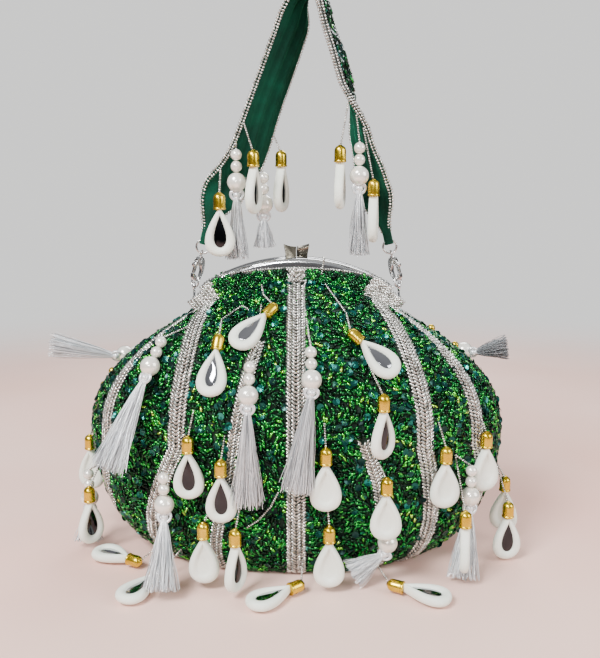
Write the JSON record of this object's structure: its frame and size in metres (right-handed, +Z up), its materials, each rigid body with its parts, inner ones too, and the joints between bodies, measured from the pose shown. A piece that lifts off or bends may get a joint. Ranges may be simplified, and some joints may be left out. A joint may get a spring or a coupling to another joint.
{
  "type": "tassel clutch",
  "caption": "Beaded evening clutch with a hinged snap frame, a lined strap on clasps, plaited braids, and hanging pearl tassels and mirror drops.",
  "frame": {"origin": "centre of the flat base, on its underside", "axes": "+Z up, -Y towards the front of the bag, +X to the right of someone who faces the front"},
  "size_m": [0.2794, 0.1636, 0.3152],
  "materials": {
    "frame": "polished",
    "hardware": "polished steel",
    "beads": "glossy glass bugle beads and sequins",
    "cloth": "woven base cloth",
    "velvet": "velvet",
    "drop": "wound thread over a core",
    "silk": "loose silk threads",
    "pearl": "pearl lustre",
    "cap": "satin",
    "drop_mirror": "mirror",
    "silver_beads": "silvered seed beads"
  },
  "bodies": {
    "bag": {"front_panel": "beads", "rear_panel": "beads", "base_panel": "cloth", "lining": "velvet", "frame_front": "frame", "hinge_rivet_left": "hardware", "hinge_rivet_right": "hardware", "drop_shoulder_left": "drop", "drop_upper_left": "drop", "drop_upper_right": "drop", "drop_belly_right": "drop", "drop_belly_left": "drop", "drop_belly_inner_left": "drop", "drop_belly_centre": "drop", "drop_belly_inner_right": "drop", "drop_braid_right": "drop", "drop_side_right": "drop", "drop_foot_centre": "drop", "drop_foot_inner_left": "drop", "drop_foot_left": "drop", "drop_side_left": "drop", "drop_table_far_left": "drop", "drop_table_left": "drop", "drop_table_centre": "drop", "drop_table_right": "drop", "tassel_shoulder_left": "silk", "tassel_front_left": "silk", "tassel_front_centre": "silk", "tassel_foot_left": "silk", "tassel_foot_right": "silk", "tassel_side_left": "silk", "tassel_side_right": "silk", "pendants_braid_end_left": "silk", "pendants_braid_end_right": "silk", "pendants_side_end_right": "silk", "drop_rear_left": "drop", "drop_rear_right": "drop", "tassel_rear_centre": "silk"},
    "rear_frame": {"frame_rear": "frame"},
    "strap": {"strap": "velvet", "strap_ring_left": "hardware", "strap_ring_right": "hardware", "clasp_left": "hardware", "clasp_right": "hardware", "clasp_pin_left": "hardware", "clasp_pin_right": "hardware", "frame_ring_left": "hardware", "frame_ring_right": "hardware", "strap_drop_left_upper": "drop", "strap_drop_left_lower": "drop", "strap_drop_left_rear": "drop", "strap_drop_right_upper": "drop", "strap_drop_right_lower": "drop", "strap_tassel_left": "silk", "strap_tassel_left_rear": "silk", "strap_tassel_right": "silk"},
    "lever_left": {"clasp_lever_left": "hardware"},
    "lever_right": {"clasp_lever_right": "hardware"}
  },
  "joints": [
    {"name": "frame_opening", "type": "hinge", "parent": "bag", "child": "rear_frame", "pos_m": [0, 0, 0.1448], "axis": [-1, 0, 0], "range_deg": [0, 60], "deforming": ["rear_panel", "lining"]},
    {"name": "strap_swing", "type": "hinge", "parent": "bag", "child": "strap", "pos_m": [0, -0.004, 0.1535], "axis": [1, 0, 0], "range_deg": [-55, 70]},
    {"name": "lever_left_press", "type": "hinge", "parent": "strap", "child": "lever_left", "pos_m": [-0.05631, -0.00541, 0.16772], "axis": [0.6861, -0.7071, -0.1711], "range_deg": [0, 20], "stiffness_Nm_per_rad": 0.01, "springref_deg": -11.46},
    {"name": "lever_right_press", "type": "hinge", "parent": "strap", "child": "lever_right", "pos_m": [0.05631, -0.00541, 0.16772], "axis": [0.6861, 0.7071, 0.1711], "range_deg": [0, 20], "stiffness_Nm_per_rad": 0.01, "springref_deg": -11.46}
  ]
}
